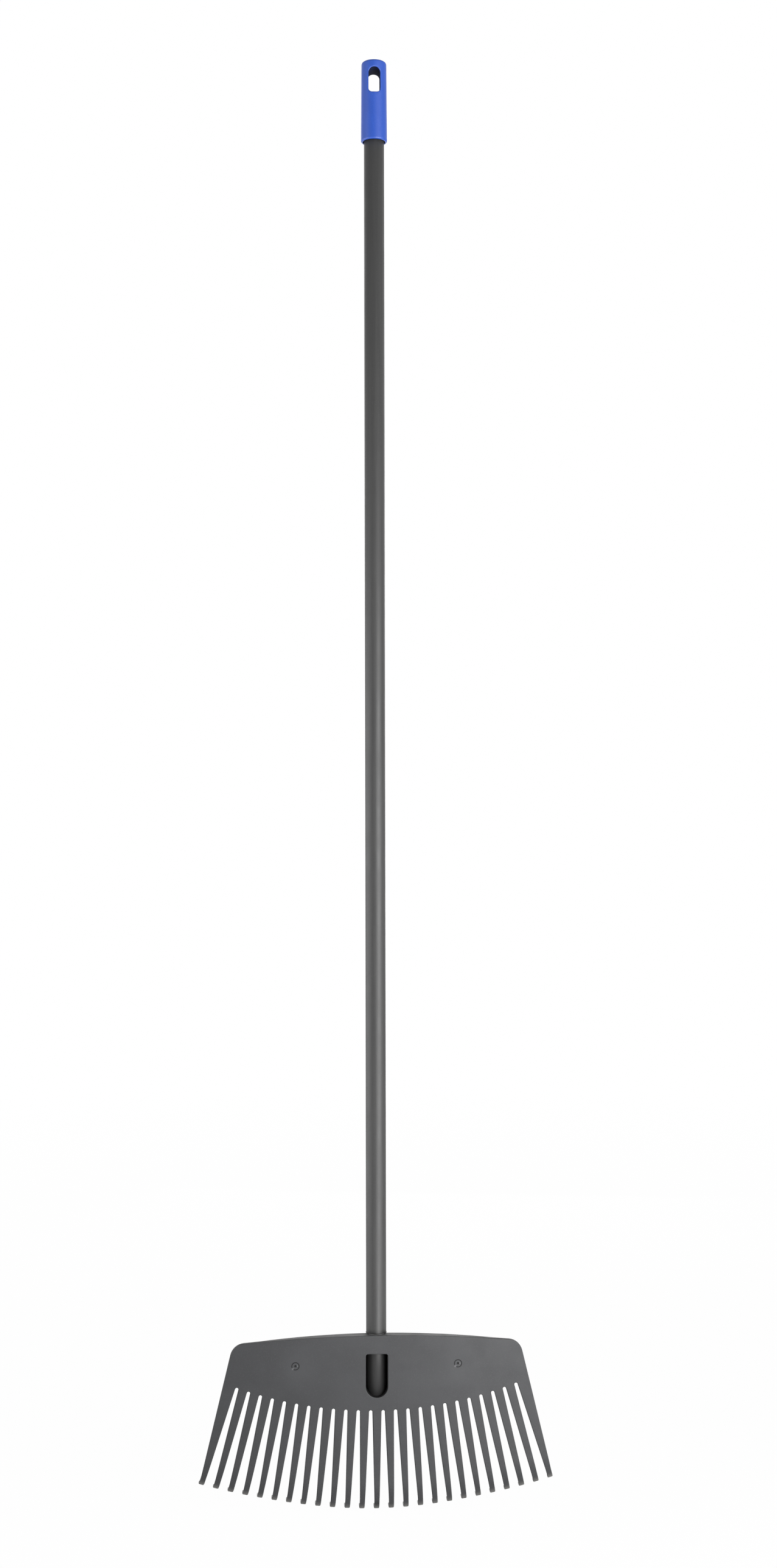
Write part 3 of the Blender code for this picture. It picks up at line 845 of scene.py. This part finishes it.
    def shade_slot(self, piece: bpy.types.Object) -> None:
        """Give the walls inside the slot their duller finish, darker to paint the shade in it.

        Args:
            piece: The finished grip.
        """
        margin = self.front_rim * self.slot_shade_margin
        for face in piece.data.polygons:
            x, y, z = face.center
            within = (abs(x) < self.slot_width / 2 + margin
                      and -self.slot_height - margin < z < margin
                      and abs(y) < self.radius(z) - self.front_rim)
            if within and abs(face.normal.y) < self.slot_shade_tilt:
                face.material_index = GripFinish.SLOT_PAINTED_SHADE.value

    def build(self) -> bpy.types.Object:
        """Build the grip, dress it and let it stand for its node.

        Returns:
            The grip.
        """
        cap = turned(self.profile(), self.turn_steps, closed=False)
        piece = new_piece("grip_moulding", cap, self.sharp_angle)
        cut_away(piece, self.slot_cutter())
        shade(piece.data, self.sharp_angle)
        even_normals(piece)
        dress(piece, self.skin, self.slot_painted_shade)
        self.shade_slot(piece)
        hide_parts(Node.GRIP.value)
        return piece


@dataclass
class RakeHead:
    """The moulded fan head: its solid's shape, the socket's fine lip, the duller places, and
    painted shade, highlights and floor reflection.
    """

    weld: float = 0.000002
    flat_angle: float = math.radians(0.2)
    sharp_angle: float = math.radians(38)
    flat_face: float = 0.0002
    front: float = -0.0175
    top: float = -1.5050
    gate_spacing: float = 0.1928
    gate_level: float = -1.5393
    gate_reach: float = 0.0062
    mark_depth: float = 0.0025
    sunk_depth: float = 0.0002
    window_half: float = 0.0150
    window_low: float = -1.6000
    window_high: float = -1.5300
    flange_level: float = -1.5600
    flange_tilt: float = 0.75
    tube_radius: float = 0.0120
    lip_radius: float = 0.00022
    lip_drop: float = 0.0004
    lip_highlight_reach: float = 0.0086
    lip_sides: int = 12
    lip_steps: int = 96
    hook_level: float = -1.6400
    tip_reflection_start: float = -0.0128
    tip_reflection_full: float = -0.0075
    ray_start: float = 0.0001
    ray_reach: float = 0.0130
    ray_tilt: float = math.radians(50)
    ring_of_rays: int = 6
    pinch: float = 2.2
    # Darker colours paint shade in hollows and round the tube; a pale one paints a floor
    # reflection.
    skin: MouldedPlastic = MouldedPlastic(
        "charcoal_moulded_plastic", (0.0308, 0.0314, 0.0334), (0.0350, 0.0357, 0.0380),
        (0.0500, 0.0510, 0.0540), gloss=0.41, painted_shade=(0.0120, 0.0120, 0.0122),
        tip_reflection=(0.1250, 0.1220, 0.1160), contact_shade=TUBE_CONTACT_SHADE)
    # A pale painted highlight on the front of the socket's lip.
    lip_highlight: MouldedPlastic = MouldedPlastic(
        "lip_painted_highlight", (0.150, 0.150, 0.149), (0.180, 0.180, 0.179),
        (0.220, 0.220, 0.218), roughness=0.40)
    # The flange's duller finish, with painted shade in its hollows and round the tube.
    flange_finish: MouldedPlastic = MouldedPlastic(
        "dull_top_flange", (0.0300, 0.0302, 0.0308), (0.0360, 0.0362, 0.0370),
        (0.0700, 0.0700, 0.0705), roughness=0.60, gloss=0.31, streaked=True,
        painted_shade=(0.0100, 0.0100, 0.0102), contact_shade=TUBE_CONTACT_SHADE)
    # A darker colour painting the shade in the gate marks' sunk rings.
    mark_shade: MouldedPlastic = MouldedPlastic(
        "dull_gate_mark_painted_shade", (0.0120, 0.0122, 0.0127), (0.0136, 0.0138, 0.0143),
        (0.0190, 0.0193, 0.0201), roughness=0.62, gloss=0.17)

    def gates(self) -> tuple[Place, ...]:
        """Return the centres of both gates."""
        half = self.gate_spacing / 2
        return tuple((x, self.front, self.gate_level) for x in (-half, half))

    def finishes(self) -> list[MouldedPlastic]:
        """Gather the head's finishes, with the blush and painted glints round both gates.

        Returns:
            The finishes, in the order of HeadFinish.
        """
        skin = replace(self.skin, gates=self.gates())
        mark = replace(self.mark_shade, gates=self.gates())
        return [skin, self.lip_highlight, self.flange_finish, mark]

    def shape(self) -> bmesh.types.BMesh:
        """Take the solid's shape, merged, with its flat faces whole again, and finish it.

        Returns:
            The head's shape.
        """
        bm = bmesh.new()
        bm.from_mesh(frame["nodes"][Node.HEAD.value].data)
        bmesh.ops.remove_doubles(bm, verts=bm.verts, dist=self.weld)
        bmesh.ops.dissolve_limit(bm, angle_limit=self.flat_angle, verts=bm.verts, edges=bm.edges)
        self.shade_hollows(bm)
        self.sort_faces(bm)
        self.lip(bm)
        return bm

    def shade_hollows(self, bm: bmesh.types.BMesh) -> None:
        """Store each point's painted shade and, on the hooks, a painted floor reflection.

        Args:
            bm: The head's shape.
        """
        bm.normal_update()
        tree = BVHTree.FromBMesh(bm)
        shade_share = bm.verts.layers.float.new(PAINTED_SHADE)
        reflected = bm.verts.layers.float.new(TIP_REFLECTION)
        for vert in bm.verts:
            hook = vert.co.z < self.hook_level
            flat = any(face.calc_area() > self.flat_face for face in vert.link_faces)
            # Painted shade: how closely the head surrounds the point, full in the window and gate
            # marks.
            if not (flat or hook):
                vert[shade_share] = max(self.closeness(tree, vert), self.sunk(vert.co))
            # A painted floor reflection on the hooks, growing as they curl back.
            share = (vert.co.y - self.tip_reflection_start) / (self.tip_reflection_full - self.tip_reflection_start)
            vert[reflected] = min(max(share, 0.0), 1.0) if hook else 0.0

    def in_mark(self, place: Vector) -> bool:
        """Tell whether a point is on one of the gate marks."""
        across = abs(abs(place.x) - self.gate_spacing / 2)
        return math.hypot(across, place.z - self.gate_level) < self.gate_reach

    def sunk(self, place: Vector) -> float:
        """Tell whether a point lies inside the window or in a gate mark.

        Args:
            place: The point.

        Returns:
            1 if it does, else 0.
        """
        window = abs(place.x) < self.window_half and self.window_low < place.z < self.window_high
        behind = place.y > self.front + self.sunk_depth
        return float(behind and (window or self.in_mark(place)))

    def closeness(self, tree: BVHTree, vert: bmesh.types.BMVert) -> float:
        """Measure how much of what a point faces is the head itself, close by.

        Args:
            tree: The head's faces.
            vert: The point.

        Returns:
            The share, from 0 to 1.
        """
        ahead = vert.normal
        aside = ahead.orthogonal().normalized()
        leaning = ahead * math.cos(self.ray_tilt) + aside * math.sin(self.ray_tilt)
        turns = [math.tau * i / self.ring_of_rays for i in range(self.ring_of_rays)]
        rays = [ahead] + [Matrix.Rotation(turn, 3, ahead) @ leaning for turn in turns]
        start = vert.co + ahead * self.ray_start
        hits = sum(tree.ray_cast(start, ray, self.ray_reach)[0] is not None for ray in rays)
        return min(1.0, hits / len(rays) * self.pinch)

    def sort_faces(self, bm: bmesh.types.BMesh) -> None:
        """Give the flange's top its duller finish and the sunk gate marks their painted shade.

        Args:
            bm: The head's shape.
        """
        shallow = self.front + self.sunk_depth / 2
        deep = self.front + self.mark_depth
        for face in bm.faces:
            place = face.calc_center_median()
            if face.normal.z > self.flange_tilt and place.z > self.flange_level:
                face.material_index = HeadFinish.FLANGE.value
            elif self.in_mark(place) and shallow < place.y < deep:
                face.material_index = HeadFinish.GATE_MARK.value

    def lip(self, bm: bmesh.types.BMesh) -> None:
        """Add the fine rolled lip of the socket's mouth, pale in front with a painted highlight.

        Args:
            bm: The head's shape.
        """
        old = set(bm.faces)
        made = bmesh.ops.create_circle(bm, segments=self.lip_sides, radius=self.lip_radius)["verts"]
        bmesh.ops.rotate(bm, verts=made, cent=CENTRE, matrix=Matrix.Rotation(math.pi / 2, 3, "X"))
        start = (self.tube_radius + self.lip_radius, 0.0, self.top - self.lip_drop)
        bmesh.ops.translate(bm, verts=made, vec=start)
        edges = list({edge for vert in made for edge in vert.link_edges})
        bmesh.ops.spin(bm, geom=made + edges, cent=CENTRE, axis=UPRIGHT,
                       angle=math.tau, steps=self.lip_steps, use_merge=True)
        ring = [face for face in bm.faces if face not in old]
        bmesh.ops.recalc_face_normals(bm, faces=ring)
        # Only the lip's front faces carry the painted highlight.
        for face in ring:
            place = face.calc_center_median()
            lit_front = place.y < 0 and abs(place.x) < self.lip_highlight_reach
            face.material_index = (HeadFinish.LIP_HIGHLIGHT if lit_front else HeadFinish.SKIN).value

    def build(self) -> bpy.types.Object:
        """Build the head, dress it and let it stand for its node.

        Returns:
            The head.
        """
        piece = new_piece("head_moulding", self.shape(), self.sharp_angle)
        even_normals(piece)
        for finish in self.finishes():
            piece.data.materials.append(finish.material())
        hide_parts(Node.HEAD.value)
        return piece


@dataclass
class ShaftTube:
    """The coated tube, turned finely enough to shine as a round one, with its screw hole."""

    top: float = -0.0357
    foot: float = -1.5847
    diameter: float = 0.0240
    wall: float = 0.0012
    lip: float = 0.0003
    turn_steps: int = 96
    sharp_angle: float = math.radians(50)
    hole_level: float = -1.5170
    hole_diameter: float = 0.0046
    hole_sides: int = 32
    hole_band: float = 0.0040
    finish: TubeCoat = TubeCoat()

    def section(self) -> Section:
        """Draw the wall's section, with softened ends and a band round the hole's level.

        Returns:
            The section's points as (radius, height).
        """
        outer = self.diameter / 2
        inner = outer - self.wall
        lip = self.lip
        above, below = self.hole_level + self.hole_band, self.hole_level - self.hole_band
        return [
            (outer - lip, self.top), (outer, self.top - lip), (outer, above), (outer, below),
            (outer, self.foot + lip), (outer - lip, self.foot),
            (inner + lip, self.foot), (inner, self.foot + lip), (inner, below), (inner, above),
            (inner, self.top - lip), (inner + lip, self.top)]

    def hole_cutter(self) -> bpy.types.Object:
        """Shape the cutter for the screw's hole in the back of the tube.

        Returns:
            The cutter.
        """
        bm = bmesh.new()
        radius = self.hole_diameter / 2
        bmesh.ops.create_cone(bm, cap_ends=True, segments=self.hole_sides, radius1=radius,
                              radius2=radius, depth=self.diameter)
        bmesh.ops.rotate(bm, verts=bm.verts, cent=CENTRE,
                         matrix=Matrix.Rotation(math.pi / 2, 3, "X"))
        bmesh.ops.translate(bm, verts=bm.verts, vec=(0.0, self.diameter / 2, self.hole_level))
        return new_piece("screw_hole_cutter", bm, math.pi)

    def build(self) -> bpy.types.Object:
        """Turn the tube, dress it and let it stand for its node.

        Returns:
            The tube.
        """
        tube = turned(self.section(), self.turn_steps, closed=True)
        piece = new_piece("coated_tube", tube, self.sharp_angle)
        cut_away(piece, self.hole_cutter())
        dress(piece, self.finish)
        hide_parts(Node.TUBE.value)
        return piece


@dataclass
class RetainingScrew:
    """The plated screw behind the socket, which keeps its solid."""

    finish: ZincPlate = ZincPlate()

    def build(self) -> bpy.types.Object:
        """Dress the screw's node.

        Returns:
            The screw.
        """
        piece = frame["nodes"][Node.SCREW.value]
        plated = self.finish.material()
        for place in piece.material_slots:
            place.material = plated
        return piece


@dataclass(frozen=True)
class Softbox:
    """A flat rectangular lamp that faces the shaft's axis at a height.

    The azimuth is in degrees from the front towards +X, the rest in metres and watts.
    """

    name: str
    azimuth: float
    distance: float
    height: float
    width: float
    tall: float
    power: float
    aim: float

    def build(self) -> bpy.types.Object:
        """Hang the lamp.

        Returns:
            The lamp's object.
        """
        lamp = bpy.data.lights.new(self.name, "AREA")
        lamp.shape = "RECTANGLE"
        lamp.size = self.width
        lamp.size_y = self.tall
        lamp.energy = self.power
        angle = math.radians(self.azimuth)
        place = Vector((math.sin(angle) * self.distance, -math.cos(angle) * self.distance,
                        self.height))
        look = Vector((0.0, 0.0, self.aim)) - place
        turn = look.to_track_quat("-Z", "Y").to_matrix().to_4x4()
        obj = bpy.data.objects.new(self.name, lamp)
        obj.matrix_world = Matrix.Translation(place) @ turn
        bpy.context.scene.collection.objects.link(obj)
        return obj


@dataclass
class Studio:
    """The pale floor, the white surroundings, the soft lamps and the camera."""

    floor_level: float = -1.7178
    floor_radius: float = 9.0
    floor_sides: int = 96
    floor_near: float = 0.6
    floor_far: float = 3.0
    floor_colour: Colour = (0.62, 0.62, 0.62)
    floor_roughness: float = 0.9
    floor_glow: float = 0.98
    floor_gloss: float = 0.34
    ambient: float = 0.20
    side_level: float = 0.60
    backdrop_start: float = 0.45
    backdrop_full: float = 0.70
    focal_pixels: float = 3000.0
    sensor: float = 36.0
    clip_start: float = 0.05
    clip_end: float = 50.0
    eye_distance: float = 2.180
    eye_height: float = -0.8515
    eye_yaw: float = math.radians(3.0)
    eye_roll: float = math.radians(-0.106)
    eye_aside: float = 0.01591
    lamps: tuple[Softbox, ...] = (
        Softbox("right_softbox", 38.0, 1.25, -0.76, 0.90, 1.6, 31.0, -0.76),
        Softbox("left_softbox", -92.0, 1.4, -0.95, 1.9, 1.7, 22.0, -0.88),
        Softbox("low_right_softbox", 24.0, 0.80, -1.64, 0.40, 0.14, 2.7, -1.66),
        Softbox("high_left_softbox", -66.0, 1.1, -0.10, 0.60, 0.60, 2.2, -0.05),
        Softbox("back_softbox", 172.0, 1.7, -0.90, 1.2, 1.6, 12.0, -0.90),
    )

    def surroundings(self) -> None:
        """Make the world white to look at, a white backdrop to gloss, and plain light otherwise."""
        world = bpy.data.worlds.new("white_surroundings")
        world.use_nodes = True
        bpy.context.scene.world = world
        sketch = NodeSketch(world.node_tree)
        background = sketch.tree.nodes["Background"]
        sketch.feed(WHITE, background.inputs["Color"])
        way = sketch.node("ShaderNodeSeparateXYZ")
        sketch.join(sketch.node("ShaderNodeTexCoord").outputs["Generated"], way.inputs["Vector"])
        backdrop = sketch.remap(way.outputs["Y"], self.backdrop_start, self.backdrop_full,
                                self.side_level, 1.0)
        level = sketch.by_ray(self.ambient, backdrop, 1.0)
        sketch.join(level, background.inputs["Strength"])

    def floor(self) -> bpy.types.Object:
        """Lay the floor under the tines.

        Returns:
            The floor.
        """
        bm = bmesh.new()
        bmesh.ops.create_circle(bm, cap_ends=True, segments=self.floor_sides,
                                radius=self.floor_radius)
        bmesh.ops.translate(bm, verts=bm.verts, vec=(0.0, 0.0, self.floor_level))
        piece = new_piece("studio_floor", bm, math.pi)
        piece.data.materials.append(self.floor_finish())
        return piece

    def floor_finish(self) -> bpy.types.Material:
        """Make the floor's finish: pale paper that is almost white to look at.

        Returns:
            The finished material.
        """
        sketch = FinishSketch("pale_paper")
        sketch.feed(self.floor_colour, sketch.shader.inputs["Base Color"])
        sketch.shader.inputs["Roughness"].default_value = self.floor_roughness
        sketch.shader.inputs["Specular IOR Level"].default_value = 0.0
        distance = sketch.length(sketch.stretched(FLATTENED))
        fade = sketch.remap(distance, self.floor_near, self.floor_far, self.floor_glow, 1.0,
                            Ease.EVEN)
        mix = sketch.node("ShaderNodeMixShader")
        sketch.join(sketch.by_ray(0.0, self.floor_gloss, fade), mix.inputs["Fac"])
        sketch.join(sketch.shader.outputs["BSDF"], mix.inputs[1])
        sketch.join(sketch.node("ShaderNodeEmission").outputs["Emission"], mix.inputs[2])
        surface = sketch.tree.nodes["Material Output"].inputs["Surface"]
        sketch.join(mix.outputs["Shader"], surface)
        return sketch.material

    def camera(self) -> bpy.types.Object:
        """Stand the camera where the photograph was taken from.

        Returns:
            The camera.
        """
        data = bpy.data.cameras.new("photo_camera")
        data.sensor_width = self.sensor
        data.lens = self.focal_pixels * self.sensor / max(PHOTO_WIDTH, PHOTO_HEIGHT)
        data.clip_start = self.clip_start
        data.clip_end = self.clip_end
        up = Vector(UPRIGHT)
        ahead = Vector((math.sin(self.eye_yaw), math.cos(self.eye_yaw), 0.0))
        aside = Vector((math.cos(self.eye_yaw), -math.sin(self.eye_yaw), 0.0))
        eye = aside * self.eye_aside - ahead * self.eye_distance + up * self.eye_height
        right = aside * math.cos(self.eye_roll) + up * math.sin(self.eye_roll)
        top = up * math.cos(self.eye_roll) - aside * math.sin(self.eye_roll)
        turn = Matrix((right, top, -ahead)).transposed().to_4x4()
        obj = bpy.data.objects.new("photo_camera", data)
        obj.matrix_world = Matrix.Translation(eye) @ turn
        bpy.context.scene.collection.objects.link(obj)
        bpy.context.scene.camera = obj
        return obj

    def build(self) -> None:
        """Set up the floor, the surroundings, the lamps and the camera."""
        bpy.context.scene.view_settings.view_transform = "Standard"
        self.surroundings()
        self.floor()
        for lamp in self.lamps:
            lamp.build()
        self.camera()


def main() -> None:
    """Build the rake's visual pieces and its studio."""
    logging.basicConfig(level=logging.INFO, format="%(name)s: %(message)s")
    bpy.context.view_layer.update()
    for part in (HangingGrip(), ShaftTube(), RakeHead(), RetainingScrew()):
        piece = part.build()
        if BODY_KEY not in piece:
            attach(piece, BODY)
        LOG.info("%s: %d faces, rides on %s", piece.name, len(piece.data.polygons), BODY)
    Studio().build()


if __name__ == "__main__":
    main()
